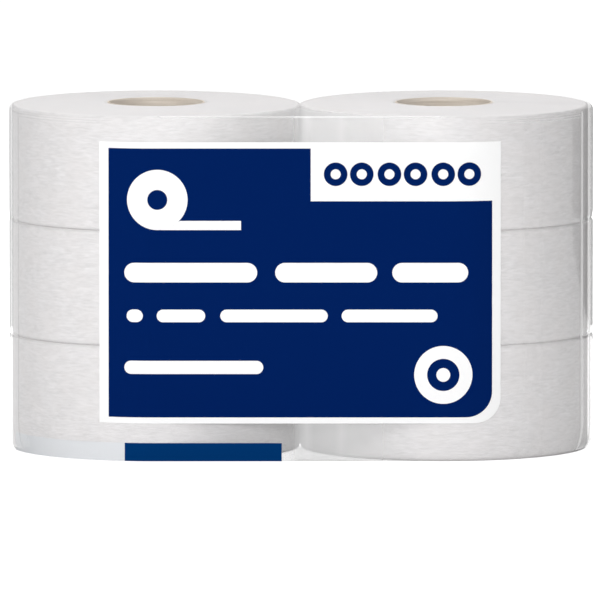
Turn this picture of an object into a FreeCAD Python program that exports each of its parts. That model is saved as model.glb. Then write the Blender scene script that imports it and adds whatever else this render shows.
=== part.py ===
import FreeCAD, Part
import os

from FreeCAD import Vector

# A wrapped pack of six jumbo toilet paper rolls: two stacks of three, side by side, in clear film.
# Millimetres, +Z up. The origin is at the middle of the base, -Y is the printed front and the
# two stacks stand at -X (left) and +X (right).

# Rolls
roll_diameter = 250.0
roll_width = 100.0
levels = 3
press_height = 8.0  # each roll's lower edge is pressed in by the film over this height
press_depth = 1.7
stack_gap = 0.3  # between the two stacks, where they come nearest

# Cardboard cores
core_bore = 82.0
core_wall = 1.2
core_gap = 0.1  # between the board and the first turn of paper

# Film
film_thickness = 0.2
film_gap = 0.3  # between the film and the rolls' round sides
seal_layer = 0.2  # how far a folded seal stands out from the film
seal_turn = 21.0  # degrees of the round end that the folded seal covers, from the end to the front
seal_low = 24.0
seal_top_margin = 4.0
lap_width = 14.0  # the long seam that closes the film along the back
lap_height = 150.0

# Label, stuck on the front and following the film round both stacks
sheet_gap = 0.1  # between the film and what is stuck or printed on it
label_thickness = 0.2
label_half_width = 173.6
label_low = 33.4
label_high = 277.9
label_corner = 22.0

# Navy field, with the number box left white in it
ink_thickness = 0.15
ink_gap = 0.08
border_left = 8.0
border_right = 7.4
border_low = 5.3
border_high = 5.5
box_left = 9.2  # the white number box fills the label's upper right corner
box_low = 226.6

# Strip stuck along the foot of the film, grey from the left end and then blue
strip_thickness = 0.15
strip_low = 0.5
strip_high = 16.3
strip_turn = 76.0  # degrees of the left round end that the strip covers, from the front
strip_split = 12.2  # where grey meets blue, in the same degrees
strip_right = -15.8

# Sizes that follow
roll_radius = roll_diameter / 2
core_radius = core_bore / 2 + core_wall
stack_x = (roll_diameter + stack_gap) / 2
press_top = film_thickness + press_height
film_inner = roll_radius + film_gap
film_outer = film_inner + film_thickness
pack_height = levels * roll_width + 2 * film_thickness
label_inner = film_outer + sheet_gap
label_outer = label_inner + label_thickness
ink_inner = label_outer + ink_gap
strip_inner = film_outer + sheet_gap

UP = Vector(0, 0, 1)


def turned(points, angle):
    """Solid swept by a profile in the plane X = 0, turned about the Z axis from the front to the right."""
    outline = Part.makePolygon([Vector(0, -r, z) for r, z in points + points[:1]])
    return Part.Face(outline).revolve(Vector(0, 0, 0), UP, angle)


def at_both_stacks(right_end):
    """A shape for the right stack, moved to its place, and its twin at the left."""
    right = right_end.copy()
    right.translate(Vector(stack_x, 0, 0))
    left = right.mirror(Vector(0, 0, 0), Vector(1, 0, 0))
    return [right, left]


def wrapped_block(radius, low, high):
    """Solid with the plan of the film: a half round at each stack and straight sides between them.

    Its lower edge is drawn in as the rolls' lower edges are.
    """
    side = [(radius - press_depth, low), (radius, press_top), (radius, high)]
    ends = at_both_stacks(turned([(0, low)] + side + [(0, high)], 180))
    front = [Vector(-stack_x, -r, z) for r, z in side]
    back = [Vector(-stack_x, r, z) for r, z in reversed(side)]
    section = Part.Face(Part.makePolygon(front + back + front[:1]))
    return section.extrude(Vector(2 * stack_x, 0, 0)).multiFuse(ends).removeSplitter()


def paper_roll():
    """The wound paper: one solid with the core's hole, crisp at the top and pressed in below."""
    hole = core_radius + core_gap
    side = [(roll_radius - press_depth, 0), (roll_radius, press_height), (roll_radius, roll_width)]
    return turned([(hole, 0)] + side + [(hole, roll_width)], 360)


def core_tube():
    """The board tube that the paper is wound on."""
    outer = Part.makeCylinder(core_radius, roll_width)
    return outer.cut(Part.makeCylinder(core_bore / 2, roll_width))


def film_wrap():
    """The closed film with its two folded end seals and the seam along its back."""
    outer = wrapped_block(film_outer, 0, pack_height)
    room = wrapped_block(film_inner, film_thickness, pack_height - film_thickness)
    root = film_outer - film_thickness / 2
    crest = film_outer + seal_layer
    seal_top = pack_height - seal_top_margin
    fold = turned([(root, seal_low), (crest, seal_low), (crest, seal_top), (root, seal_top)], seal_turn)
    fold.rotate(Vector(0, 0, 0), UP, 90 - seal_turn)
    lap = Part.makeBox(2 * stack_x, crest - root, lap_width)
    lap.translate(Vector(-stack_x, root, lap_height - lap_width / 2))
    return outer.cut(room).multiFuse(at_both_stacks(fold) + [lap]).removeSplitter()


def front_box(left, right, low, high, corner=0):
    """Flat rectangle in front of the pack, with its lower right corner rounded if a radius is given."""
    spots = [Vector(x, -2 * roll_radius, z) for x, z in ((left, low), (right, low), (right, high), (left, high))]
    box = Part.Face(Part.makePolygon(spots + spots[:1]))
    if not corner:
        return box
    block = box.extrude(Vector(0, 1, 0))
    edge = [e for e in block.Edges if abs(e.CenterOfMass.x - right) + abs(e.CenterOfMass.z - low) < 1e-6]
    rounded = block.makeFillet(corner, edge)
    return min(rounded.Faces, key=lambda f: f.CenterOfMass.y)


def laid_on(face, inner, thickness):
    """Thin solid on the pack's front under a flat face, from the inner radius outwards."""
    shell = wrapped_block(inner + thickness, 0, pack_height).cut(wrapped_block(inner, 0, pack_height))
    return shell.common(face.extrude(Vector(0, 2 * roll_radius, 0))).removeSplitter()


def label_sheet():
    """The white label."""
    outline = front_box(-label_half_width, label_half_width, label_low, label_high, label_corner)
    return laid_on(outline, label_inner, label_thickness)


def label_ink():
    """The navy field, open in its upper right corner where the label's white is the number box."""
    left = border_left - label_half_width
    right = label_half_width - border_right
    field = front_box(left, right, label_low + border_low, label_high - border_high, label_corner)
    number_box = front_box(box_left, label_half_width, box_low, label_high)
    return laid_on(field.cut(number_box), ink_inner, ink_thickness)


def strip_round(start, end):
    """The strip's stretch round the left end, between two angles from the front."""
    outer = strip_inner + strip_thickness
    corners = [(strip_inner, strip_low), (outer, strip_low), (outer, strip_high), (strip_inner, strip_high)]
    stretch = turned(corners, end - start)
    stretch.rotate(Vector(0, 0, 0), UP, -end)
    stretch.translate(Vector(-stack_x, 0, 0))
    return stretch


def strip_grey():
    """The grey field, round the left end."""
    return strip_round(strip_split, strip_turn)


def strip_blue():
    """The blue field, from the grey one on to the flat front."""
    flat = Part.makeBox(stack_x + strip_right, strip_thickness, strip_high - strip_low)
    flat.translate(Vector(-stack_x, -strip_inner - strip_thickness, strip_low))
    return strip_round(0, strip_split).fuse(flat).removeSplitter()


def save(name, solids):
    """Write one sub-part, a single solid or a group of them."""
    shape = solids[0] if len(solids) == 1 else Part.makeCompound(solids)
    shape.exportStep(os.path.join("parts", name + ".step"))
    print(name, len(shape.Solids), "solid(s)", round(shape.Volume / 1000, 2), "cm3", shape.isValid())


os.makedirs("parts", exist_ok=True)

level_names = ["bottom", "middle", "top"] if levels == 3 else [str(i + 1) for i in range(levels)]
cores = []
for level, level_name in enumerate(level_names):
    foot = Vector(0, 0, film_thickness + level * roll_width)
    for side_name, x in (("left", -stack_x), ("right", stack_x)):
        roll = paper_roll()
        roll.translate(foot + Vector(x, 0, 0))
        save("paper_roll_" + side_name + "_" + level_name, [roll])
        core = core_tube()
        core.translate(foot + Vector(x, 0, 0))
        cores.append(core)
save("cardboard_cores", cores)
save("film_wrap", film_wrap().Solids)
save("front_label", label_sheet().Solids)
save("label_print", label_ink().Solids)
save("foot_strip_grey", strip_grey().Solids)
save("foot_strip_blue", strip_blue().Solids)
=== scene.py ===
# %% [markdown]
# # A film-wrapped pack of paper rolls
#
# Six jumbo rolls of tissue stand in two stacks inside a clear film, with a navy and white
# label across the front. This lesson dresses the plain solids of the frame: it winds the rolls,
# lays the clear film over them with its folds and seams, prints the label and lights the pack
# as in a bright studio. Every size is in millimetres here and is turned to metres in one place.

# %% Load the frame
import math

import bmesh
import bpy
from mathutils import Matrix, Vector, noise


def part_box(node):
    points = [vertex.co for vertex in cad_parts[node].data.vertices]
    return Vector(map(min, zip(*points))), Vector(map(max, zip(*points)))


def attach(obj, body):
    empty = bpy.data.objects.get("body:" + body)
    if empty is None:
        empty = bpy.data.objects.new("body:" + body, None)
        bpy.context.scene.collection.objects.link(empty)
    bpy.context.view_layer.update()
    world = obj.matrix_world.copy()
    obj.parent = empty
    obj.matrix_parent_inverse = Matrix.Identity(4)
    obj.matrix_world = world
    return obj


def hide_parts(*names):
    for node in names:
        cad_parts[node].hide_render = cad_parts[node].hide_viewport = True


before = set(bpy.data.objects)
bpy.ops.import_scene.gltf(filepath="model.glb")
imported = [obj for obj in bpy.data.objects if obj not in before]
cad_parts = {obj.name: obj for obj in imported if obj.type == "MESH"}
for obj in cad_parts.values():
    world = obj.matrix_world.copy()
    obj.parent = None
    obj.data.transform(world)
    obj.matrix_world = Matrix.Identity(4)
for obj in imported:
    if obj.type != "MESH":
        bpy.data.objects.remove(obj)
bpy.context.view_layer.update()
MM = 0.001
print("nodes:", sorted(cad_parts))

# %% [markdown]
# ## Reading the sizes
#
# The frame gives each node's box, so no size of the pack is typed twice. A roll's box gives its
# radius and width, the two bottom rolls give the distance between the stacks, and the film's box
# gives the height. Only what the boxes can't tell is given here.

# %% Sizes from the frame
def box_mm(node):
    """A node's lowest and highest corners in millimetres."""
    low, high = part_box(node)
    return Vector(low) / MM, Vector(high) / MM


ROLLS = sorted(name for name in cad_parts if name.startswith("paper_roll"))
roll_low, roll_high = box_mm("paper_roll_right_bottom")
roll_radius = (roll_high.y - roll_low.y) / 2
roll_width = roll_high.z - roll_low.z
stack_x = (roll_low.x + roll_high.x) / 2
film_floor = roll_low.z
film_low, film_high = box_mm("film_wrap")
film_radius = -film_low.y
film_top = film_high.z
core_low, core_high = box_mm("cardboard_cores")
core_radius = core_high.y
label_low, label_high = box_mm("front_label")
seams = [film_floor + roll_width, film_floor + 2 * roll_width]
core_bore_radius = 41.0
press_height = 2.8  # how far up the film draws a roll's lower edge in
press_depth = 0.8  # and by how much
foot_depth = 1.8  # the same at the foot of the pack
core_rise = 1.6  # the innermost turns of the top rolls stand this much proud
print("roll", round(roll_radius * 2, 1), "x", round(roll_width, 1), "mm, stacks at x", round(stack_x, 2))

# %% [markdown]
# ## Two small helpers
#
# A material or a Geometry Nodes tree is a list of nodes with settings and links. One function
# adds a node, sets what is asked and plugs in what feeds it: a socket, or a node by its first
# output. So a tree reads as a short list. Colours are written as the sRGB hex values a screen
# shows, and one function turns them to the linear values that light is worked out with.

# %% Helpers for colours and nodes
def colour(hex_value, alpha=1.0):
    """Linear RGBA from an sRGB hex string."""
    parts = [int(hex_value[i : i + 2], 16) / 255 for i in (1, 3, 5)]
    linear = [c / 12.92 if c <= 0.04045 else ((c + 0.055) / 1.055) ** 2.4 for c in parts]
    return (*linear, alpha)


MATH = "ShaderNodeMath"


def add(tree, kind, inputs=(), **settings):
    """Add a node. inputs maps sockets by name or number, or lists them, to values or to what feeds them."""
    node = tree.nodes.new(kind)
    for name, value in settings.items():
        setattr(node, name, value)
    for key, value in inputs.items() if isinstance(inputs, dict) else enumerate(inputs):
        socket = node.inputs[key]
        if isinstance(value, bpy.types.Node):
            value = value.outputs[0]
        if isinstance(value, bpy.types.NodeSocket):
            tree.links.new(value, socket)
        else:
            socket.default_value = value
    return node


def new_material(name):
    """An empty material and its output node."""
    material = bpy.data.materials.new(name)
    material.use_nodes = True
    material.node_tree.nodes.clear()
    return material, add(material.node_tree, "ShaderNodeOutputMaterial")


print("paper white in linear light:", [round(c, 3) for c in colour("#f4f1ee")[:3]])

# %% [markdown]
# ## Tissue
#
# The paper is dry-creped tissue: while it dries on a hot drum a blade scrapes it off, which
# leaves fine wavy ridges across the web. On a standing roll the web runs round and the crepe
# shows as fine, uneven horizontal lines. The real ridges are about 0.3 mm apart, too fine for
# this picture, so they are drawn about 1.6 mm apart. Noise does it: its coordinates are
# squeezed in height and stretched round the roll. On the round ends the cut edges of the turns
# show instead, as rings, so the pattern there follows the distance from the core, which the
# roll's mesh carries as an attribute. Paper scatters light evenly, so it has hardly any gloss
# and a little sheen from loose fibres.

# %% Tissue material
def tissue_material():
    material, out = new_material("creped_tissue_natural_white")
    tree = material.node_tree
    place = add(tree, "ShaderNodeTexCoord").outputs["Object"]
    crepe_mm, along_mm = 1.6, 7.5
    squeeze = (1 / (along_mm * MM), 1 / (along_mm * MM), 1 / (crepe_mm * MM))
    stretched = add(tree, "ShaderNodeVectorMath", {0: place, 1: squeeze}, operation="MULTIPLY")
    fine = add(tree, "ShaderNodeTexNoise", {"Vector": stretched, "Scale": 1.0, "Detail": 3.0,
               "Roughness": 0.62, "Distortion": 0.35})
    broad = add(tree, "ShaderNodeTexNoise", {"Vector": stretched, "Scale": 0.5, "Detail": 1.0,
                "Distortion": 1.2})
    crepe = add(tree, "ShaderNodeMix", {"Factor": 0.35, 2: fine.outputs["Fac"], 3: broad.outputs["Fac"]})
    cloud = add(tree, "ShaderNodeTexNoise", {"Vector": place, "Scale": 1 / (26 * MM), "Detail": 2.0})
    ring = add(tree, "ShaderNodeAttribute", attribute_name="from_core")
    ring_place = add(tree, "ShaderNodeCombineXYZ", {"X": ring.outputs["Fac"]})
    turns = add(tree, "ShaderNodeTexNoise", {"Vector": ring_place, "Scale": 0.8, "Detail": 4.0,
                "Roughness": 0.7}, noise_dimensions="3D")
    end_face = add(tree, "ShaderNodeAttribute", attribute_name="end_face").outputs["Fac"]
    height = add(tree, "ShaderNodeMix", {"Factor": end_face, 2: crepe, 3: turns.outputs["Fac"]})
    uneven = add(tree, "ShaderNodeMapRange", {"Value": height, "From Min": 0.3, "From Max": 0.7,
                 "To Min": 0.0, "To Max": 1.0})
    fleck = add(tree, "ShaderNodeMix", {"Factor": uneven, 6: colour("#d9d7d7"), 7: colour("#f2f0f1")},
                data_type="RGBA")
    warm = add(tree, "ShaderNodeMapRange", {"Value": cloud.outputs["Fac"], "From Min": 0.35, "From Max": 0.65,
               "To Min": 0.0, "To Max": 0.35})
    tone = add(tree, "ShaderNodeMix", {"Factor": warm, 6: fleck.outputs[2], 7: colour("#e8e4e3")},
               data_type="RGBA")
    bump = add(tree, "ShaderNodeBump", {"Height": height, "Strength": 0.6, "Distance": 0.4 * MM})
    shader = add(tree, "ShaderNodeBsdfPrincipled", {"Base Color": tone.outputs[2], "Roughness": 0.95,
                 "Specular IOR Level": 0.15, "Sheen Weight": 0.1, "Normal": bump})
    tree.links.new(shader.outputs[0], out.inputs["Surface"])
    return material


tissue = tissue_material()
print("material:", tissue.name)

# %% [markdown]
# ## Winding a roll
#
# A roll is a rule, not a drawing: one section swept round a circle. So Geometry Nodes make it.
# A rectangle with softened corners is the section, and a circle is the path. Then Set Position
# pulls the lower edge in, as the tight film does on every roll, and gives the wall a slight
# unevenness. The turns are one long sheet, so their edges on the two round ends are not rings
# but one spiral, and the Spiral node draws it as a fine raised line. On the top rolls a second
# Set Position lifts the innermost turns, which a core often pushes a little proud.

# %% Tree helper
def new_tree(name, sizes):
    """A Geometry Nodes tree with a geometry output and named float inputs."""
    tree = bpy.data.node_groups.new(name, "GeometryNodeTree")
    tree.interface.new_socket("Geometry", in_out="INPUT", socket_type="NodeSocketGeometry")
    for label, value in sizes.items():
        kind = "NodeSocketInt" if isinstance(value, int) else "NodeSocketFloat"
        tree.interface.new_socket(label, in_out="INPUT", socket_type=kind).default_value = value
    tree.interface.new_socket("Geometry", in_out="OUTPUT", socket_type="NodeSocketGeometry")
    return tree, add(tree, "NodeGroupInput").outputs, add(tree, "NodeGroupOutput")


# %% Roll tree
def roll_tree():
    tree, size, out = new_tree("wound_roll", {
        "Outer Radius": roll_radius * MM, "Hole Radius": (core_radius + 0.1) * MM, "Width": roll_width * MM,
        "Edge": 0.35 * MM, "Core Rise": 0.0, "Press Height": press_height * MM, "Press Depth": press_depth * MM,
        "Turn Rise": 0.12 * MM, "Turns": 26, "Seed": 1})
    thick = add(tree, MATH, [size["Outer Radius"], size["Hole Radius"]], operation="SUBTRACT")
    middle = add(tree, MATH, [add(tree, MATH, [size["Outer Radius"], size["Hole Radius"]], operation="ADD"), 0.5],
                 operation="MULTIPLY")
    path = add(tree, "GeometryNodeCurvePrimitiveCircle", {"Resolution": 200, "Radius": middle})
    section = add(tree, "GeometryNodeCurvePrimitiveQuadrilateral", {"Width": thick, "Height": size["Width"]})
    soft = add(tree, "GeometryNodeFilletCurve", {"Curve": section, "Radius": size["Edge"], "Count": 3},
               mode="POLY")
    fine = add(tree, "GeometryNodeResampleCurve", {"Curve": soft, "Length": 3.1 * MM}, mode="LENGTH")
    swept = add(tree, "GeometryNodeCurveToMesh", {"Curve": path, "Profile Curve": fine})

    where = add(tree, "GeometryNodeInputPosition").outputs[0]
    split = add(tree, "ShaderNodeSeparateXYZ", {0: where}).outputs
    flat = add(tree, "ShaderNodeCombineXYZ", {"X": split[0], "Y": split[1]}).outputs[0]
    outward = add(tree, "ShaderNodeVectorMath", {0: flat}, operation="NORMALIZE").outputs[0]
    radius = add(tree, "ShaderNodeVectorMath", {0: flat}, operation="LENGTH").outputs["Value"]
    foot = add(tree, MATH, [split[2], add(tree, MATH, [size["Width"], 0.5], operation="MULTIPLY")], operation="ADD")
    rise = add(tree, MATH, [foot, size["Press Height"]], operation="DIVIDE")
    near = add(tree, MATH, [1.0, rise], operation="SUBTRACT", use_clamp=True)
    on_wall = add(tree, MATH, [radius, middle], operation="GREATER_THAN")
    press = add(tree, MATH,
                [add(tree, MATH, [add(tree, MATH, [near, 1.8], operation="POWER"), size["Press Depth"]],
                     operation="MULTIPLY"), on_wall], operation="MULTIPLY")
    uneven = add(tree, "ShaderNodeTexNoise", {"Vector": where, "W": size["Seed"], "Scale": 11.0, "Detail": 1.0},
                 noise_dimensions="4D").outputs["Fac"]
    swell = add(tree, MATH, [add(tree, MATH, [uneven, 0.36 * MM], operation="MULTIPLY"), on_wall], operation="MULTIPLY")
    inward = add(tree, MATH, [swell, press], operation="SUBTRACT")
    shift = add(tree, "ShaderNodeVectorMath", {0: outward, "Scale": inward}, operation="SCALE").outputs[0]
    pressed = add(tree, "GeometryNodeSetPosition", {"Geometry": swept, "Offset": shift})
    inner_share = add(tree, MATH, [add(tree, MATH, [size["Outer Radius"], radius], operation="SUBTRACT"), thick],
                      operation="DIVIDE")
    on_top = add(tree, MATH, [foot, add(tree, MATH, [size["Width"], size["Edge"]], operation="SUBTRACT")],
                 operation="GREATER_THAN")
    swollen = add(tree, MATH, [add(tree, MATH, [inner_share, 1.6], operation="POWER"), size["Core Rise"]],
                  operation="MULTIPLY")
    dome = add(tree, "ShaderNodeCombineXYZ", {"Z": add(tree, MATH, [swollen, on_top], operation="MULTIPLY")}).outputs[0]

    inner = add(tree, MATH, [size["Hole Radius"], 1.5 * MM], operation="ADD")
    outer = add(tree, MATH, [size["Outer Radius"], 3.0 * MM], operation="SUBTRACT")
    spiral = add(tree, "GeometryNodeCurveSpiral", {"Resolution": 56, "Rotations": size["Turns"], "Start Radius": inner,
                 "End Radius": outer, "Height": 0.0})
    line = add(tree, "GeometryNodeCurvePrimitiveCircle", {"Resolution": 3, "Radius": size["Turn Rise"]})
    thread = add(tree, "GeometryNodeCurveToMesh", {"Curve": spiral, "Profile Curve": line})
    half = add(tree, MATH, [size["Width"], 0.5], operation="MULTIPLY")
    up = add(tree, "ShaderNodeCombineXYZ", {"Z": half}).outputs[0]
    down = add(tree, "ShaderNodeCombineXYZ", {"Z": add(tree, MATH, [half, -1.0], operation="MULTIPLY")}).outputs[0]
    top = add(tree, "GeometryNodeTransform", {"Geometry": thread, "Translation": up})
    bottom = add(tree, "GeometryNodeTransform", {"Geometry": thread, "Translation": down})
    whole = add(tree, "GeometryNodeJoinGeometry")
    for part in (bottom, top, pressed):
        tree.links.new(part.outputs[0], whole.inputs[0])
    domed = add(tree, "GeometryNodeSetPosition", {"Geometry": whole, "Offset": dome})

    from_core = add(tree, MATH, [radius, MM], operation="DIVIDE")
    marked = add(tree, "GeometryNodeStoreNamedAttribute", {"Geometry": domed, "Name": "from_core",
                 "Value": from_core}, data_type="FLOAT", domain="POINT")
    steep = add(tree, "ShaderNodeSeparateXYZ", {0: add(tree, "GeometryNodeInputNormal").outputs[0]}).outputs[2]
    is_end = add(tree, MATH, [add(tree, MATH, [steep], operation="ABSOLUTE"), 0.6], operation="GREATER_THAN")
    ended = add(tree, "GeometryNodeStoreNamedAttribute", {"Geometry": marked, "Name": "end_face",
                "Value": is_end}, data_type="FLOAT", domain="POINT")
    real = add(tree, "GeometryNodeRealizeInstances", {0: ended})
    done = add(tree, "GeometryNodeSetMaterial", {"Geometry": real, "Material": tissue})
    tree.links.new(done.outputs[0], out.inputs[0])
    return tree


winding = roll_tree()
print("tree:", winding.name, "with", len(winding.nodes), "nodes")

# %% [markdown]
# ## Baking a tree to a mesh
#
# The modifier's result is read from the evaluated object as a plain mesh. Its place is put in
# the mesh itself and the object stays at the origin, so a pattern on Object coordinates doesn't
# slide. Each roll is turned by its own angle, because six rolls never stand in step. The film
# pulls the two stacks together, so a roll is cut flat where it meets its neighbour.

# %% Bake and dress
def set_inputs(modifier, values):
    """Set a modifier's inputs by the names that the tree shows."""
    for item in modifier.node_group.interface.items_tree:
        if item.item_type == "SOCKET" and item.in_out == "INPUT" and item.name in values:
            modifier[item.identifier] = values[item.name]


def bake(tree, name, values=None, start=None):
    """The mesh that a tree makes, as a new object with no modifier."""
    holder = bpy.data.objects.new(name + "_maker", start or bpy.data.meshes.new(name + "_start"))
    bpy.context.scene.collection.objects.link(holder)
    modifier = holder.modifiers.new("tree", "NODES")
    modifier.node_group = tree
    set_inputs(modifier, values or {})
    graph = bpy.context.evaluated_depsgraph_get()
    graph.update()
    mesh = bpy.data.meshes.new_from_object(holder.evaluated_get(graph), depsgraph=graph)
    mesh.name = name
    bpy.data.objects.remove(holder)
    piece = bpy.data.objects.new(name, mesh)
    bpy.context.scene.collection.objects.link(piece)
    return piece


def dress(piece, slot, *nodes, smooth=True):
    """Let a piece ride with the pack and stand for its nodes; its slot is not used."""
    piece.data.polygons.foreach_set("use_smooth", [smooth] * len(piece.data.polygons))
    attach(piece, "root")
    if nodes:
        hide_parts(*nodes)
    print(piece.name, "faces:", len(piece.data.polygons))


def outward_faces(mesh, merge_mm=0.001):
    """Merge doubles and turn every face outwards."""
    work = bmesh.new()
    work.from_mesh(mesh)
    bmesh.ops.remove_doubles(work, verts=work.verts, dist=merge_mm * MM)
    bmesh.ops.recalc_face_normals(work, faces=work.faces)
    work.to_mesh(mesh)
    work.free()


for number, name in enumerate(ROLLS):
    low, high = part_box(name)
    centre = (Vector(low) + Vector(high)) / 2
    depth = foot_depth if name.endswith("bottom") else press_depth
    rise = core_rise if name.endswith("top") else 0.0
    roll = bake(winding, name + "_wound", {"Seed": number + 1, "Press Depth": depth * MM, "Core Rise": rise * MM})
    turn = math.radians(47 * number)
    side = math.copysign(1.0, centre.x)
    for vertex in roll.data.vertices:
        x, y, z = vertex.co
        vertex.co = (x * math.cos(turn) - y * math.sin(turn), x * math.sin(turn) + y * math.cos(turn), z)
        vertex.co += centre
        vertex.co.x = side * max(side * vertex.co.x, 0.01 * MM)
    outward_faces(roll.data)
    dress(roll, "tissue", name)
print("rolls wound:", len(ROLLS))

# %% [markdown]
# ## Cardboard cores
#
# A core is wound from strips of grey-brown board that run round it as a screw, so a thin joint
# climbs its bore. The material draws that joint from the angle and the height. Noise flattened
# to thin bands gives the layers of the winding, and finer noise the fibres of recycled board.
# All six tubes are alike, so a tree makes one and sets it at each place. The two top ones are
# lifted with the paper round them, or the paper's hole would hide their edge.

# %% Board material
def board_material():
    material, out = new_material("spiral_wound_core_board")
    tree = material.node_tree
    place = add(tree, "ShaderNodeTexCoord").outputs["Object"]
    split = add(tree, "ShaderNodeSeparateXYZ", {0: place}).outputs
    side = add(tree, MATH, [add(tree, MATH, [split[0]], operation="ABSOLUTE"), stack_x * MM], operation="SUBTRACT")
    angle = add(tree, MATH, [split[1], side], operation="ARCTAN2")
    strip_mm = 70.0
    round_share = add(tree, MATH, [angle, 2 * math.pi], operation="DIVIDE")
    climb = add(tree, MATH, [round_share, add(tree, MATH, [split[2], strip_mm * MM], operation="DIVIDE")],
                operation="ADD")
    cut = add(tree, MATH, [climb, 0.5], operation="PINGPONG")
    joint = add(tree, "ShaderNodeMapRange", {"Value": cut, "From Min": 0.0, "From Max": 0.02}).outputs[0]
    flattened = add(tree, "ShaderNodeVectorMath", {0: place, 1: (1 / (50 * MM), 1 / (50 * MM), 1 / (2.2 * MM))},
                    operation="MULTIPLY").outputs[0]
    layers = add(tree, "ShaderNodeTexNoise", {"Vector": flattened, "Scale": 1.0, "Detail": 1.0})
    fibre = add(tree, "ShaderNodeTexNoise", {"Vector": place, "Scale": 1 / (1.6 * MM), "Detail": 3.0})
    grain = add(tree, "ShaderNodeMix", {"Factor": 0.75, 2: fibre.outputs["Fac"], 3: layers.outputs["Fac"]}).outputs[0]
    spread = add(tree, "ShaderNodeMapRange", {"Value": grain, "From Min": 0.28, "From Max": 0.72}).outputs[0]
    tone = add(tree, "ShaderNodeMix", {"Factor": spread, 6: colour("#cfc0ae"), 7: colour("#fbf1e4")}, data_type="RGBA")
    dark = add(tree, "ShaderNodeMix", {"Factor": joint, 6: colour("#a08d78"), 7: tone.outputs[2]}, data_type="RGBA")
    bump = add(tree, "ShaderNodeBump", {"Height": joint, "Strength": 0.4, "Distance": 0.3 * MM})
    shader = add(tree, "ShaderNodeBsdfPrincipled", {"Base Color": dark.outputs[2], "Roughness": 0.9,
                 "Specular IOR Level": 0.2, "Normal": bump})
    tree.links.new(shader.outputs[0], out.inputs["Surface"])
    return material


board = board_material()
print("material:", board.name)


# %% Core tree
def core_tree():
    tree, size, out = new_tree("core_tubes", {"Radius": core_radius * MM, "Wall": (core_radius - core_bore_radius) * MM,
                               "Length": (roll_width - 0.4) * MM, "Stack Distance": 2 * stack_x * MM,
                               "Level Height": roll_width * MM, "First Height": (film_floor + 0.2) * MM, "Levels": 3,
                               "Core Rise": core_rise * MM})
    middle = add(tree, MATH, [size["Radius"], add(tree, MATH, [size["Wall"], 0.5], operation="MULTIPLY")],
                 operation="SUBTRACT")
    path = add(tree, "GeometryNodeCurvePrimitiveCircle", {"Resolution": 120, "Radius": middle})
    section = add(tree, "GeometryNodeCurvePrimitiveQuadrilateral", {"Width": size["Wall"], "Height": size["Length"]})
    tube = add(tree, "GeometryNodeCurveToMesh", {"Curve": path, "Profile Curve": section})
    first = add(tree, MATH, [size["First Height"], add(tree, MATH, [size["Length"], 0.5], operation="MULTIPLY")],
                operation="ADD")
    half = add(tree, MATH, [size["Stack Distance"], -0.5], operation="MULTIPLY")
    start = add(tree, "ShaderNodeCombineXYZ", {"X": half, "Z": first}).outputs[0]
    step = add(tree, "ShaderNodeCombineXYZ", {"Z": size["Level Height"]}).outputs[0]
    across = add(tree, "ShaderNodeCombineXYZ", {"X": size["Stack Distance"]}).outputs[0]
    column = add(tree, "GeometryNodeMeshLine", {"Count": size["Levels"], "Start Location": start, "Offset": step})
    other = add(tree, "GeometryNodeTransform", {"Geometry": column, "Translation": across})
    places = add(tree, "GeometryNodeJoinGeometry")
    tree.links.new(column.outputs[0], places.inputs[0])
    tree.links.new(other.outputs[0], places.inputs[0])
    copies = add(tree, "GeometryNodeInstanceOnPoints", {"Points": places, "Instance": tube})
    real = add(tree, "GeometryNodeRealizeInstances", {0: copies})
    height = add(tree, "ShaderNodeSeparateXYZ", {0: add(tree, "GeometryNodeInputPosition").outputs[0]}).outputs[2]
    crown = add(tree, MATH, [size["Levels"], size["Level Height"]], operation="MULTIPLY")
    is_crown = add(tree, MATH, [height, add(tree, MATH, [crown, 1.0 * MM], operation="SUBTRACT")],
                   operation="GREATER_THAN")
    lift = add(tree, "ShaderNodeCombineXYZ",
               {"Z": add(tree, MATH, [is_crown, size["Core Rise"]], operation="MULTIPLY")}).outputs[0]
    raised = add(tree, "GeometryNodeSetPosition", {"Geometry": real, "Offset": lift})
    done = add(tree, "GeometryNodeSetMaterial", {"Geometry": raised, "Material": board})
    tree.links.new(done.outputs[0], out.inputs[0])
    return tree


cores = bake(core_tree(), "core_tubes")
outward_faces(cores.data)
dress(cores, "core_board", "cardboard_cores", smooth=False)

# %% [markdown]
# ## The clear film
#
# The film is one closed skin. Its plan is two half circles joined by straight sides, and each
# column of its mesh stands at one place on that plan. A column has a foot under it, climbs the
# wall and crosses the top to the line between the two stacks. Small offsets give the film its
# life: it is drawn in at the seams between rolls and at the foot, it stands off a little at the
# ends, where a seal is folded flat against it, fine ridges run below the rim, and the long seam
# that closes it lies along the back. The mesh is denser where a fold needs it.

# %% Film plan
FOLD_EDGE = {1: 70.5, -1: 71.0}  # degrees from the front of the folded seal's free edge, right and left
FOLD_LINE = {1: 80.3, -1: 78.0}  # the weld line in the seal
FOLD_RIDGE = {1: 0.5, -1: 0.15}  # millimetres that those two lines stand up
FOLD_ROOT = 90.0
BULGE = {1: 3.7, -1: 1.7}  # millimetres that the film stands off at each end
BULGE_SPREAD = (92, 34)  # degrees from the front of its middle, and its half width
SEAM_NOTCH = {1: 1.5, -1: 0.3}  # how much of a seam's depth the standing film follows
DIP_ABOVE, DIP_BELOW = 8, 1.6  # millimetres over which the film comes out again at a seam
LAP_MIDDLE, LAP_WIDTH = 150.0, 14.0  # the long seam on the flat back
# the streaks below are painted highlight, in place of lamp reflections in the film
PAINTED_STREAKS = [(34.8, 1.9, 0.22), (42.3, 2.6, 0.14)]  # pale streaks at the right: degrees, half width, strength
# the grey of these plies is partly painted shade at the film's edge
PLY_SHADE_BANDS = [(76.7, 0.9, 0.22), (81.8, 2.0, 0.12)]  # where the right seal's plies begin: degrees, width, grey


def ease(value):
    """Smooth step from 0 to 1."""
    value = min(max(value, 0.0), 1.0)
    return value * value * (3 - 2 * value)


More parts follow.
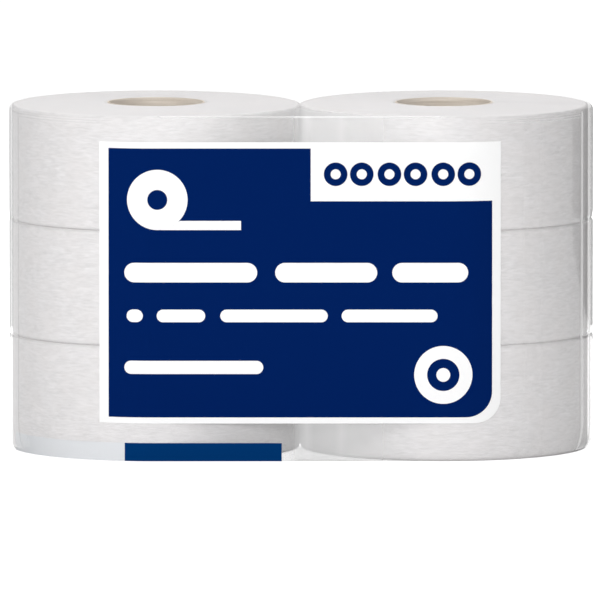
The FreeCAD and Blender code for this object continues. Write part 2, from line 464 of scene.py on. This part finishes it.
def bell(value, centre, half):
    """A smooth hump of height 1 and the given half width."""
    return ease(1 - abs(value - centre) / half)


def spaced(start, end, step):
    """Values from start up to, but not including, end."""
    count = max(1, round(abs(end - start) / step))
    return [start + (end - start) * i / count for i in range(count)]


def end_angles():
    """Degrees from the front round one end to the back, denser at the folded seal."""
    return (spaced(0, 60, 2.0) + spaced(60, 68, 0.8) + spaced(68, 83, 0.28) + spaced(83, 93, 0.5)
            + spaced(93, 180, 2.0) + [180.0])


def plan_columns():
    """Each column as (side, degrees from the front, x of its centre), round the plan from the front."""
    straight = spaced(-stack_x, stack_x, 6.0)[1:]
    right = [(1, a, stack_x) for a in end_angles()]
    left = [(-1, a, -stack_x) for a in reversed(end_angles())]
    back = [(0, 180.0, -x) for x in straight]
    front = [(0, 0.0, x) for x in straight]
    return right + back + left + front


COLUMNS = plan_columns()
print("film columns:", len(COLUMNS))


# %% Film offsets
def fold_shift(height):
    """Degrees that the fold's lines bend to the front near the foot, where the seal is tucked under."""
    return 7.0 * min(max((28 - height) / 27, 0), 1.0) ** 2


def seam_dip(height):
    """How far the film is drawn in at the seams: slowly above each seam, at once below it."""
    dip = 0.0
    for seam in seams:
        above = height - seam
        if 0 <= above < DIP_ABOVE:
            dip = max(dip, (1 - above / DIP_ABOVE) ** 1.8)
        elif -DIP_BELOW < above < 0:
            dip = max(dip, ease(1 + above / DIP_BELOW))
    return dip * press_depth


def fold_rise(side, angle):
    """Height of the folded seal above the film, in millimetres."""
    if side == 0:
        return 0.0
    layer = 0.35 * ease((angle - FOLD_EDGE[side] + 0.3) / 0.6) * ease((FOLD_ROOT + 1.2 - angle) / 1.2)
    lip = bell(angle, FOLD_EDGE[side] + 0.4, 1.0)
    weld = bell(angle, FOLD_LINE[side], 1.1)
    return layer + FOLD_RIDGE[side] * (lip + weld)


def lap_rise(side, angle, height):
    """Height of the long seam on the flat back."""
    if side or angle < 90:
        return 0.0
    return 0.3 * ease((LAP_WIDTH / 2 + 0.3 - abs(height - LAP_MIDDLE)) / 0.6)


def crease_line(side, below, angle):
    """Strength of the fine creases that run round the pack just below its rim."""
    if not side or angle > FOLD_EDGE[side] - 0.5:
        return 0.0
    strength = ease((angle - 8) / 30) * (1.0 if side > 0 else 0.35)
    return strength * max(bell(below, line + 0.012 * angle, 0.8) for line in (2.2, 4.3, 6.6))


def film_offset(side, angle, x, height):
    """Outward offset of the film's wall from its plan, in millimetres."""
    round_part = 1.0 if side else 0.0
    spot = Vector((angle * 0.04 * side + x * 0.004, height * 0.012, side * 3.1))
    slack = 0.18 * noise.noise(spot) + 0.07 * noise.noise(spot * 3.7)
    free = bell(angle, 92, 30) if side else 0.0
    dip = seam_dip(height) * (SEAM_NOTCH[side] * free if side else 0.0) + 0.35 * seam_dip(height) * round_part
    ridge = 0.22 * crease_line(side, film_top - height, angle)
    tucked = ease((height + 1) / 10)
    fold = fold_rise(side, angle) * (0.35 + 0.65 * tucked * ease((film_top - 3 - height) / 4))
    bulge = BULGE[side] * bell(angle, *BULGE_SPREAD) * tucked if side else 0.0
    return slack * round_part * 0.5 + ridge + fold + bulge + lap_rise(side, angle, height) - dip


print("drawn in at a seam:", round(seam_dip(seams[0]), 2), "mm")


# %% Film profile
RIM = 0.6  # radius of the film's upper edge at the front, and more where it stands off
FOOT = 3.0  # how far up the rounding of the foot reaches


def wall_levels():
    """Heights of the wall's rows, denser at the seams, the foot and the rim."""
    rows = spaced(FOOT, 12, 1.2)
    edge = 12
    for seam in seams:
        rows += spaced(edge, seam - 2, 4.5) + spaced(seam - 2, seam + 1.2, 0.4) + spaced(seam + 1.2, seam + 9, 1.3)
        edge = seam + 9
        if edge < LAP_MIDDLE:
            low, high = LAP_MIDDLE - LAP_WIDTH / 2, LAP_MIDDLE + LAP_WIDTH / 2
            rows += spaced(edge, low - 0.5, 4.5) + spaced(low - 0.5, low + 2.5, 0.5) + spaced(low + 2.5, high - 2.5, 3)
            rows += spaced(high - 2.5, high + 0.5, 0.5)
            edge = high + 0.5
    return rows + spaced(edge, film_top - 10, 4.5) + spaced(film_top - 10, film_top - RIM, 0.55)


def column_profile(side, angle, x):
    """A column's points as (distance from the stack's axis, height), from under the pack to over it."""
    points = []
    rim = RIM + (BULGE[side] * bell(angle, *BULGE_SPREAD) if side else 0.0)
    wall_foot = film_radius - foot_depth
    for share in (0.0, 0.08, 0.2, 0.34, 0.5, 0.66, 0.8, 0.9, 0.96):
        points.append(((wall_foot - 2.2) * share, 0.05))
    points += [(wall_foot - 2.2, 0.05), (wall_foot - 1.0, 0.35), (wall_foot - 0.25, 1.2)]
    for height in wall_levels():
        press = foot_depth * max(0.0, 1 - height / 6) ** 1.8
        into = max(0.0, rim - (film_top - height))
        round_off = rim - math.sqrt(rim ** 2 - into ** 2)
        points.append((film_radius + 0.1 - press - round_off + film_offset(side, angle, x, height), height))
    top_radius = points[-1][0]
    start = math.asin((rim - RIM) / rim)
    for step in (0.35, 0.7, 1.0):
        bend = start + (math.pi / 2 - start) * step
        reach = rim * (math.cos(start) - math.cos(bend))
        points.append((top_radius - reach, film_top - rim + rim * math.sin(bend)))
    for share in (0.985, 0.96, 0.92, 0.86, 0.78, 0.7, 0.6, 0.5, 0.42, 0.36, 0.3, 0.22, 0.12, 0.0):
        points.append(((top_radius - rim) * share, film_top))
    return points


print("rows on the wall:", len(wall_levels()))

# %% [markdown]
# ## Marks on the film
#
# Where film is welded or creased it turns white, where it stands off the paper it mirrors more,
# and where a fold lays plies on one another it is a little grey. Painted light is added to the white:
# it lifts the shade on the flat front and in the notch between the stacks, draws highlight streaks and
# a highlight along the front's upper edge, and whitens the folds and creases as painted highlight too.
# The grey is partly painted shade at the film's edge. All three follow the angles of the folds, so each
# point of the mesh carries them as attributes, and the material reads them.

# %% Film marks
def front_painted_light(x, below):
    """Painted light on the flat front between the stacks: a whiteness that lifts the shade there, most where the stacks
    meet and on the right stack's left side, two painted highlight streaks, and a painted highlight along the upper
    edge.
    """
    # painted light that lifts the shade on the right stack's left side, and a little on the left stack's right side
    # near the middle
    slack = 0.5 * ease((110 - x) / 80) if x > 0 else 0.1 * ease((x + 60) / 50)
    streak = max(0.09 * bell(x, at, 3.4) for at in (-14.5, 34.8))
    # a base of painted light, more at the line where the stacks meet, plus the painted streaks and the painted
    # highlight along the upper edge
    return 0.15 + 0.45 * bell(x, 0, 9) + slack + streak + bell(below, 0.6, 1.1)


def lap_white(height):
    """Whiteness of the long seam at the back and of its two weld lines."""
    from_middle = abs(height - LAP_MIDDLE)
    return max(0.35 * bell(from_middle, LAP_WIDTH / 2 - 1.2, 1.2), 0.15 * ease(LAP_WIDTH / 2 - from_middle))


def film_marks(side, angle, x, height, past_roll):
    """How white the film is, from welds and creases and from painted light and painted highlights, how much it mirrors
    where it stands off, and its grey, partly painted shade at the seal's edge.
    """
    below = film_top - height
    on_wall = ease((below - 1) / 3)
    if not side:
        # on the top, where the film spans the notch between the stacks: painted light that lifts the shade in the
        # notch, stronger on the right half
        spans = ease((past_roll + 2) / 14)
        white = (0.65 if x > -3 else 0.35) * spans if below < 0.01 else front_painted_light(x, below)
        return (lap_white(height) if angle > 90 and below > 0.01 else white), 0.0, 0.0
    # painted highlight streaks on the right round
    streaks = max(strong * bell(angle, at, half) for at, half, strong in PAINTED_STREAKS) if side > 0 else 0.0
    # creases below the rim turn white, and this white also stands as painted highlight on their ridges; near the front
    # of each round the flat front's painted light fades out
    white = max(0.55 * crease_line(side, below, angle), 0.15 * ease((20 - angle) / 20), streaks)
    grey = 0.0
    if side > 0:
        # the seal's free edge and its weld line: a weld is whitish, and the white also stands as painted highlight on
        # these ridges
        white = max(white, bell(angle, FOLD_EDGE[side] + 0.2, 2.2), 0.9 * bell(angle, FOLD_LINE[side], 1.6))
        # grey where the seal's plies lie, also standing as painted shade at the film's edge at the right end
        grey = sum(dark * ease((angle - at) / width) for at, width, dark in PLY_SHADE_BANDS)
        grey *= ease((108 - angle) / 18) * ease((below + 0.3) / 1.5)
    return white * on_wall, ease((angle - 52) / 14) * on_wall, grey


print("marks on the seal's edge:", [round(mark, 2) for mark in film_marks(1, FOLD_EDGE[1], stack_x, 150, 0)])


# %% Film mesh
def top_sag(place):
    """How far the film dips over a core's open bore, and its slight waves elsewhere on the top."""
    out = math.hypot(abs(place.x) - stack_x, place.y)
    share = min(max((film_radius - out) / (film_radius - core_radius), 0.0), 1.0)
    sag = -1.2 * ease((core_bore_radius - out) / core_bore_radius)
    return core_rise * share ** 1.6 + sag + 0.12 * abs(noise.noise(Vector((place.x * 0.02, place.y * 0.02, 7.7))))


def film_mesh():
    """Closed skin from the columns."""
    mesh = bmesh.new()
    white_layer = mesh.verts.layers.float.new("weld_white_and_painted_light")
    mirror_layer = mesh.verts.layers.float.new("stands_off")
    ply_and_shade_layer = mesh.verts.layers.float.new("ply_grey_and_painted_edge_shade")
    rings = []
    for side, angle, x in COLUMNS:
        ring = []
        for reach, height in column_profile(side, angle, x):
            turn = angle
            if side:
                turn -= fold_shift(height) * bell(angle, 78, 26)
            across = math.sin(math.radians(turn)) * (side or 1)
            along = -math.cos(math.radians(turn))
            if side == 0:
                across = 0.0
            place = Vector((x + reach * across, reach * along, height))
            if height > film_top - 0.01:
                place.z += top_sag(place)
            vert = mesh.verts.new(place * MM)
            past_roll = math.hypot(abs(x) - stack_x, reach) - roll_radius
            marks = film_marks(side, angle, x, height, past_roll)
            vert[white_layer], vert[mirror_layer], vert[ply_and_shade_layer] = marks
            ring.append(vert)
        rings.append(ring)
    for i, ring in enumerate(rings):
        following = rings[(i + 1) % len(rings)]
        for j in range(len(ring) - 1):
            mesh.faces.new((ring[j], following[j], following[j + 1], ring[j + 1]))
    bmesh.ops.remove_doubles(mesh, verts=mesh.verts, dist=0.002 * MM)
    bmesh.ops.recalc_face_normals(mesh, faces=mesh.faces)
    data = bpy.data.meshes.new("clear_film")
    mesh.to_mesh(data)
    mesh.free()
    return data

# %% [markdown]
# ## Film material
#
# Polyethylene film is clear and glossy, about 0.05 mm thick. It doesn't bend what lies behind
# it, so this is a Transparent shader mixed with a Glossy one. A thin sheet mirrors alike from
# both sides: 4.1% straight on, as an index of 1.51 gives, and more as it turns away. A Fresnel
# node would take the far wall for the inside of a block and mirror too much there, so the same
# rule is written out with the Facing output of Layer Weight. Film that clings to paper shows
# less of that mirror, so its share is capped where the film doesn't stand off. A milky Diffuse
# part is the haze of the plastic: a trace of it everywhere, and most in a weld or a crease. The
# same Diffuse part also shows the painted light and painted highlights of the film's white marks,
# and the grey tint of the plies is partly painted shade at the seal's edge.

# %% Film material nodes
def film_material():
    material, out = new_material("clear_polyethylene_film")
    tree = material.node_tree
    place = add(tree, "ShaderNodeTexCoord").outputs["Object"]
    squeeze = (1 / (9 * MM), 1 / (9 * MM), 1 / (160 * MM))
    drawn = add(tree, "ShaderNodeVectorMath", {0: place, 1: squeeze}, operation="MULTIPLY").outputs[0]
    pull = add(tree, "ShaderNodeTexNoise", {"Vector": drawn, "Scale": 1.0, "Detail": 2.0})
    bump = add(tree, "ShaderNodeBump", {"Height": pull.outputs["Fac"], "Strength": 0.2, "Distance": 0.25 * MM})
    free = add(tree, "ShaderNodeAttribute", attribute_name="stands_off").outputs["Fac"]
    # the white attribute: welds and creases, plus painted light and painted highlights
    weld = add(tree, "ShaderNodeAttribute", attribute_name="weld_white_and_painted_light").outputs["Fac"]
    ply_and_edge_shade = add(tree, "ShaderNodeAttribute", attribute_name="ply_grey_and_painted_edge_shade").outputs["Fac"]
    # the tint turns grey where plies lie, partly as painted shade at the seal's edge
    tint = add(tree, "ShaderNodeMix", {"Factor": ply_and_edge_shade, 6: colour("#fefefe"), 7: colour("#8f8c8c")}, data_type="RGBA")
    clear = add(tree, "ShaderNodeBsdfTransparent", {"Color": tint.outputs[2]})
    haze = add(tree, "ShaderNodeBsdfDiffuse", {"Color": colour("#ffffff")})
    # the Diffuse share: a trace of haze everywhere, more at welds and creases, and the painted light of the white
    # attribute
    haze_and_painted_light = add(tree, MATH, [add(tree, MATH, [weld, 0.6], operation="MULTIPLY"), 0.03], operation="ADD")
    milky = add(tree, "ShaderNodeMixShader", {"Fac": haze_and_painted_light, 1: clear, 2: haze})
    gloss = add(tree, "ShaderNodeBsdfGlossy", {"Color": colour("#ffffff"), "Roughness": 0.07,
                "Normal": bump})
    facing = add(tree, "ShaderNodeLayerWeight", {"Blend": 0.5, "Normal": bump}).outputs["Facing"]
    mirror = add(tree, MATH,
                 [add(tree, MATH, [add(tree, MATH, [facing, 5.0], operation="POWER"), 0.959], operation="MULTIPLY"),
                  0.041], operation="ADD")
    most = add(tree, MATH, [add(tree, MATH, [free, 0.75], operation="MULTIPLY"), 0.1], operation="ADD")
    share = add(tree, MATH, [mirror, most], operation="MINIMUM")
    mixed = add(tree, "ShaderNodeMixShader", {"Fac": share, 1: milky, 2: gloss})
    tree.links.new(mixed.outputs[0], out.inputs["Surface"])
    return material


film = bpy.data.objects.new("clear_film", film_mesh())
bpy.context.scene.collection.objects.link(film)
film.data.materials.append(film_material())
dress(film, "clear_film", "film_wrap")

# %% [markdown]
# ## Laying print on the film
#
# The label is drawn flat, as a printer would, in millimetres across and up. A tree then lays it
# on the pack: each point goes to the film's surface straight behind it, on the flat front or on
# the round of a stack, and the sheet gets its thickness. The same tree lays the label, its navy
# field, the white signs and the strip at the foot.

# %% Laying tree
def laying_tree():
    tree, size, out = new_tree("lay_on_front", {"Radius": film_radius * MM, "Thickness": 0.1 * MM,
                               "Stack X": stack_x * MM})
    place = add(tree, "GeometryNodeInputPosition").outputs[0]
    split = add(tree, "ShaderNodeSeparateXYZ", {0: place}).outputs
    beyond = add(tree, MATH,
                 [add(tree, MATH, [add(tree, MATH, [split[0]], operation="ABSOLUTE"), size["Stack X"]],
                      operation="SUBTRACT"), 0.0], operation="MAXIMUM")
    square = add(tree, MATH,
                 [add(tree, MATH, [size["Radius"], 2.0], operation="POWER"),
                  add(tree, MATH, [beyond, 2.0], operation="POWER")], operation="SUBTRACT")
    depth = add(tree, MATH,
                [add(tree, MATH, [add(tree, MATH, [square, 0.0], operation="MAXIMUM")], operation="SQRT"), -1.0],
                operation="MULTIPLY")
    laid_at = add(tree, "ShaderNodeCombineXYZ", {"X": split[0], "Y": depth, "Z": split[2]}).outputs[0]
    laid = add(tree, "GeometryNodeSetPosition", {"Geometry": size["Geometry"], "Position": laid_at})
    side = add(tree, MATH, [split[0]], operation="SIGN")
    lean = add(tree, MATH, [add(tree, MATH, [beyond, side], operation="MULTIPLY"), size["Radius"]], operation="DIVIDE")
    drop = add(tree, MATH, [depth, size["Radius"]], operation="DIVIDE")
    outward = add(tree, "ShaderNodeCombineXYZ", {"X": lean, "Y": drop}).outputs[0]
    grown = add(tree, "GeometryNodeExtrudeMesh", {"Mesh": laid, "Offset": outward,
                "Offset Scale": size["Thickness"], "Individual": False}, mode="FACES")
    under = add(tree, "GeometryNodeFlipFaces", {"Mesh": laid})
    both = add(tree, "GeometryNodeJoinGeometry")
    tree.links.new(grown.outputs[0], both.inputs[0])
    tree.links.new(under.outputs[0], both.inputs[0])
    closed = add(tree, "GeometryNodeMergeByDistance", {"Geometry": both, "Distance": 0.002 * MM})
    tree.links.new(closed.outputs[0], out.inputs[0])
    return tree


laying = laying_tree()
print("tree:", laying.name)


# %% Flat shapes
def strip_shape(xs, low, high):
    """A flat sheet between two edges, as (points, faces); low and high give each edge's height at x."""
    points = [(x, low(x)) for x in xs] + [(x, high(x)) for x in xs]
    count = len(xs)
    return points, [(i, i + 1, count + i + 1, count + i) for i in range(count - 1)]


def rectangle(left, right, low, high, corner=0.0):
    """A rectangle whose lower right corner may be round."""
    xs = spaced(left, right - corner, 5.0) + (spaced(right - corner, right, 1.0) if corner else []) + [right]
    if corner:
        xs = xs[:-1] + [right - 0.6, right - 0.3, right - 0.1, right]

    def foot(x):
        into = max(0.0, x - (right - corner))
        return low + corner - math.sqrt(max(0.0, corner ** 2 - into ** 2)) if corner else low

    return strip_shape(sorted(set(xs)), foot, lambda x: high)


def bar(left, right, middle, height):
    """A bar with half-round ends."""
    half = height / 2
    round_in = [half * (1 - math.cos(math.radians(a))) for a in range(0, 91, 10)]
    xs = [left + d for d in round_in] + spaced(left + half, right - half, 5.0)[1:]
    xs += [right - d for d in reversed(round_in)]

    def reach(x):
        into = max(0.0, left + half - x, x - (right - half))
        return math.sqrt(max(0.0, half ** 2 - into ** 2))

    return strip_shape(xs, lambda x: middle - reach(x), lambda x: middle + reach(x))


def ring(x, z, outer, inner, steps=72):
    """A flat ring."""
    points, faces = [], []
    layers = 4
    for k in range(layers + 1):
        radius = inner + (outer - inner) * k / layers
        for i in range(steps):
            angle = 2 * math.pi * i / steps
            points.append((x + radius * math.cos(angle), z + radius * math.sin(angle)))
    for k in range(layers):
        for i in range(steps):
            j = (i + 1) % steps
            faces.append((k * steps + i, k * steps + j, (k + 1) * steps + j, (k + 1) * steps + i))
    return points, faces


print("points on a bar's edge:", len(bar(0, 30, 0, 10)[0]))


# %% Flat mesh
def flat_mesh(name, shapes):
    """One flat mesh in the plane of X and Z from several shapes, facing the front."""
    mesh = bmesh.new()
    for points, faces in shapes:
        verts = [mesh.verts.new((x * MM, 0, z * MM)) for x, z in points]
        for face in faces:
            mesh.faces.new([verts[i] for i in face])
    bmesh.ops.remove_doubles(mesh, verts=mesh.verts, dist=0.002 * MM)
    for face in mesh.faces:
        face.normal_update()
        if face.normal.y > 0:
            face.normal_flip()
    data = bpy.data.meshes.new(name)
    mesh.to_mesh(data)
    mesh.free()
    return data


def lay(name, shapes, radius, thickness, material, slot, *nodes):
    """Lay flat shapes on the pack's front and dress them."""
    piece = bake(laying, name, {"Radius": radius * MM, "Thickness": thickness * MM}, flat_mesh(name + "_flat", shapes))
    piece.data.materials.clear()
    piece.data.materials.append(material)
    dress(piece, slot, *nodes, smooth=False)


# %% [markdown]
# ## Print materials
#
# The label is coated paper, smooth and bright white, printed in solid navy. Ink on coated paper
# lies matt here: a strong gloss would lift the dark blue to grey. Very fine noise breaks both,
# as the grain of the sheet does.

# %% Print materials
def print_material(name, hex_value, roughness=0.5, shine=0.12, grain_mm=0.8):
    material, out = new_material(name)
    tree = material.node_tree
    place = add(tree, "ShaderNodeTexCoord").outputs["Object"]
    grain = add(tree, "ShaderNodeTexNoise", {"Vector": place, "Scale": 1 / (grain_mm * MM), "Detail": 2.0})
    base = colour(hex_value)
    pale = tuple(min(1.0, c * 1.03) for c in base[:3]) + (1.0,)
    tone = add(tree, "ShaderNodeMix", {"Factor": grain.outputs["Fac"], 6: base, 7: pale}, data_type="RGBA")
    bump = add(tree, "ShaderNodeBump", {"Height": grain.outputs["Fac"], "Strength": 0.08, "Distance": 0.05 * MM})
    shader = add(tree, "ShaderNodeBsdfPrincipled", {"Base Color": tone.outputs[2], "Roughness": roughness,
                 "Specular IOR Level": shine, "Normal": bump})
    tree.links.new(shader.outputs[0], out.inputs["Surface"])
    return material


label_paper = print_material("coated_label_paper", "#fdfdfd")
navy_ink = print_material("navy_flexo_ink", "#011f5a", roughness=0.6, shine=0.02)
strip_blue_ink = print_material("blue_flexo_ink", "#01346b", roughness=0.6, shine=0.02)
strip_grey_ink = print_material("light_grey_ink", "#e2e4e7")
print("inks:", [ink.name for ink in (navy_ink, strip_blue_ink, strip_grey_ink)])

# %% [markdown]
# ## Label, navy field and signs
#
# The white sheet shows as a border, as the box at the upper right and as the disc. Plain bars
# run across the navy in three lines, and simple signs stand by them: a roll with its loose sheet,
# and six rings in pairs, one for each roll in the pack.

# %% Label pieces
LABEL_LEFT, LABEL_RIGHT = label_low.x, label_high.x
LABEL_LOW, LABEL_HIGH = label_low.z, label_high.z
ink_low, ink_high = box_mm("label_print")
CORNER = 22.0
BOX_LEFT, BOX_LOW = 9.2, 226.6
DISC = (124.0, 75.7, 25.2)
label_skin = film_radius + 0.1
ink_skin = label_skin + 0.28
sign_skin = ink_skin + 0.17

lay("label_sheet", [rectangle(LABEL_LEFT, LABEL_RIGHT, LABEL_LOW, LABEL_HIGH, CORNER)], label_skin, 0.2, label_paper,
    "label_white", "front_label")


def navy_field():
    """The navy field around the white box, in two sheets that meet under the box's left edge."""
    left = rectangle(ink_low.x, BOX_LEFT, ink_low.z, ink_high.z)
    right = rectangle(BOX_LEFT, ink_high.x, ink_low.z, BOX_LOW, CORNER)
    return [left, right]


lay("navy_field", navy_field(), ink_skin, 0.15, navy_ink, "navy_ink", "label_print")

# %% Signs
BAR_LINES = [
    (164.6, 17.0, [(-152.0, -37.0), (-21.5, 66.8), (79.8, 145.5)]),
    (127.0, 11.0, [(-150.0, -136.0), (-124.0, -82.0), (-69.0, 24.0), (36.0, 119.0)]),
    (82.2, 11.5, [(-152.0, -31.8)]),
]
white_signs = [bar(start, end, middle, height) for middle, height, runs in BAR_LINES for start, end in runs]
white_signs.append(ring(*DISC, 0.01))
ROLL_SIGN = (-123.4, 227.8, 26.2)


def loose_sheet(x, z, radius, right, thickness):
    """The sheet that leaves the sign's roll at its foot, from just below the ring."""
    def under_ring(at):
        into = at - x
        rise = radius - math.sqrt(radius ** 2 - into ** 2) if into < radius else thickness
        return z - radius + min(thickness, rise)

    return strip_shape(spaced(x + 3, right, 1.5) + [right], lambda at: z - radius, under_ring)


white_signs.append(ring(*ROLL_SIGN, ROLL_SIGN[2] * 0.33))
white_signs.append(loose_sheet(*ROLL_SIGN, -51.0, 8.0))
lay("white_signs", white_signs, sign_skin, 0.05, label_paper, "label_white")

navy_signs = [ring(DISC[0], DISC[1], 14.0, 6.0)]
for pair in range(3):
    for member in range(2):
        navy_signs.append(ring(30.8 + 46.5 * pair + 22.6 * member, 250.1, 10.2, 4.4, 48))
lay("navy_signs", navy_signs, sign_skin + 0.07, 0.05, navy_ink, "navy_ink")

# %% Foot strip
for field, ink in (("grey", strip_grey_ink), ("blue", strip_blue_ink)):
    low, high = box_mm("foot_strip_" + field)
    lay(field + "_foot_strip", [rectangle(low.x, high.x, low.z, high.z)], label_skin, 0.15, ink, "strip_" + field,
        "foot_strip_" + field)

# %% [markdown]
# ## Studio
#
# The pack stands on a pale floor under soft light. A lamp straight ahead gives the most light,
# one at the left makes the left of each stack lighter than its right, and one overhead lights
# the round ends. The lamps are kept out of the film's mirror, where they would show as burnt-out
# spots. The world is white where the camera and the shiny film look at it, and softer as a
# light, so that the background is white without washing out the paper.

# %% Floor and world
def looked_at(tree):
    """1 for what the camera sees straight on, in a mirror or through film, and 0 for plain light."""
    ray = add(tree, "ShaderNodeLightPath").outputs
    straight = add(tree, MATH, [ray["Is Camera Ray"], ray["Is Glossy Ray"]], operation="MAXIMUM")
    return add(tree, MATH, [straight, ray["Is Transmission Ray"]], operation="MAXIMUM")


def floor_material():
    material, out = new_material("pale_studio_floor")
    tree = material.node_tree
    matt = add(tree, "ShaderNodeBsdfDiffuse", {"Color": colour("#cccccc")})
    glow = add(tree, "ShaderNodeEmission", {"Color": colour("#ffffff"), "Strength": 0.9})
    lit = add(tree, "ShaderNodeAddShader", {0: matt, 1: glow})
    mixed = add(tree, "ShaderNodeMixShader", {"Fac": looked_at(tree), 1: matt, 2: lit})
    tree.links.new(mixed.outputs[0], out.inputs["Surface"])
    return material


bpy.ops.mesh.primitive_plane_add(size=9.0, location=(0, 0, 0))
floor = bpy.context.object
floor.name = "studio_floor"
floor.data.materials.append(floor_material())

world = bpy.data.worlds.new("bright_studio")
world.use_nodes = True
bpy.context.scene.world = world
sky = world.node_tree
sky.nodes.clear()
strength = add(sky, "ShaderNodeMapRange", {"Value": looked_at(sky), "To Min": 0.225, "To Max": 1.0}).outputs[0]
white = add(sky, "ShaderNodeBackground", {"Color": colour("#ffffff"), "Strength": strength})
add(sky, "ShaderNodeOutputWorld", {"Surface": white})
print("world:", world.name)


# %% Lamps
PACK_MIDDLE = Vector((0.0, 0.0, 0.15))


def lamp(name, place, side, power):
    """A square white lamp with the given side in metres, facing the pack's middle."""
    data = bpy.data.lights.new(name, "AREA")
    data.size = side
    data.energy = power
    holder = bpy.data.objects.new(name, data)
    holder.location = place
    holder.rotation_euler = (PACK_MIDDLE - Vector(place)).to_track_quat("-Z", "Y").to_euler()
    holder.visible_camera = holder.visible_glossy = False
    bpy.context.scene.collection.objects.link(holder)


def around(azimuth, distance, height):
    """A place round the pack: azimuth in degrees from the front, positive to the right."""
    turn = math.radians(azimuth)
    return (distance * math.sin(turn), -distance * math.cos(turn), height)


lamp("key_front", around(0, 4.5, 0.7), 1.0, 106)
lamp("key_left", around(-50, 3.9, 2.4), 1.0, 46)
lamp("overhead", (0.2, 0.7, 3.1), 1.4, 59)


# %% [markdown]
# ## Cards for the film's edges
#
# On a white ground clear film all but vanishes, for all that it mirrors is white. In a studio
# dark cards are set just outside the picture: where the film turns away from the camera it
# mirrors them, and its edge shows as a thin grey line. Each card here stands behind one end and
# is graded, dark near the pack and pale further out. Only mirror rays see the cards.

# %% Cards
def card(name, first, last, inner_hex, outer_hex, distance=0.9):
    """An upright card behind one end of the pack, between two bearings from straight back."""
    end = math.copysign(0.25, first + last)
    edges = [(end + distance * math.tan(math.radians(turn)), distance) for turn in (first, last)]
    corners = [(x, y, z) for x, y in edges for z in (0.0, 0.36)]
    mesh = bpy.data.meshes.new(name)
    mesh.from_pydata(corners, [], [(0, 2, 3, 1)])
    material, out = new_material(name + "_paper")
    tree = material.node_tree
    place = add(tree, "ShaderNodeTexCoord").outputs["Object"]
    across = add(tree, "ShaderNodeSeparateXYZ", {0: place}).outputs[0]
    spread = add(tree, "ShaderNodeMapRange", {"Value": across, "From Min": edges[0][0], "From Max": edges[1][0]})
    tone = add(tree, "ShaderNodeMix", {"Factor": spread, 6: colour(inner_hex), 7: colour(outer_hex)},
               data_type="RGBA")
    face = add(tree, "ShaderNodeBsdfDiffuse", {"Color": tone.outputs[2]})
    tree.links.new(face.outputs[0], out.inputs["Surface"])
    mesh.materials.append(material)
    piece = bpy.data.objects.new(name, mesh)
    bpy.context.scene.collection.objects.link(piece)
    piece.visible_camera = piece.visible_diffuse = piece.visible_transmission = piece.visible_shadow = False
    print("card:", name)


card("dark_card_right", -1, 60, "#707070", "#e1e1e1")
card("grey_card_left", 1, -30, "#303030", "#ffffff")

# %% [markdown]
# ## Camera
#
# The top of the pack shows as a thin ellipse and the two stacks look equally wide, so the
# picture was taken from far off with a long lens, a little above the pack's middle. A frame
# half a metre wide seen from 20 m asks for a lens of well over a metre.

# %% Camera
DISTANCE = 20.0
ELEVATION = math.radians(5.75)
FRAME_WIDTH = 0.519
target = Vector((0.0, -film_radius * MM, 0.1408))
camera_data = bpy.data.cameras.new("studio_camera")
camera_data.sensor_width = 36.0
camera_data.lens = camera_data.sensor_width * DISTANCE / FRAME_WIDTH
camera_data.clip_start, camera_data.clip_end = 0.1, 60.0
camera = bpy.data.objects.new("studio_camera", camera_data)
camera.location = target + Vector((0.0, -math.cos(ELEVATION), math.sin(ELEVATION))) * DISTANCE
camera.rotation_euler = (target - camera.location).to_track_quat("-Z", "Y").to_euler()
bpy.context.scene.collection.objects.link(camera)
bpy.context.scene.camera = camera
bpy.context.scene.view_settings.view_transform = "Standard"
print("lens:", round(camera_data.lens), "mm")
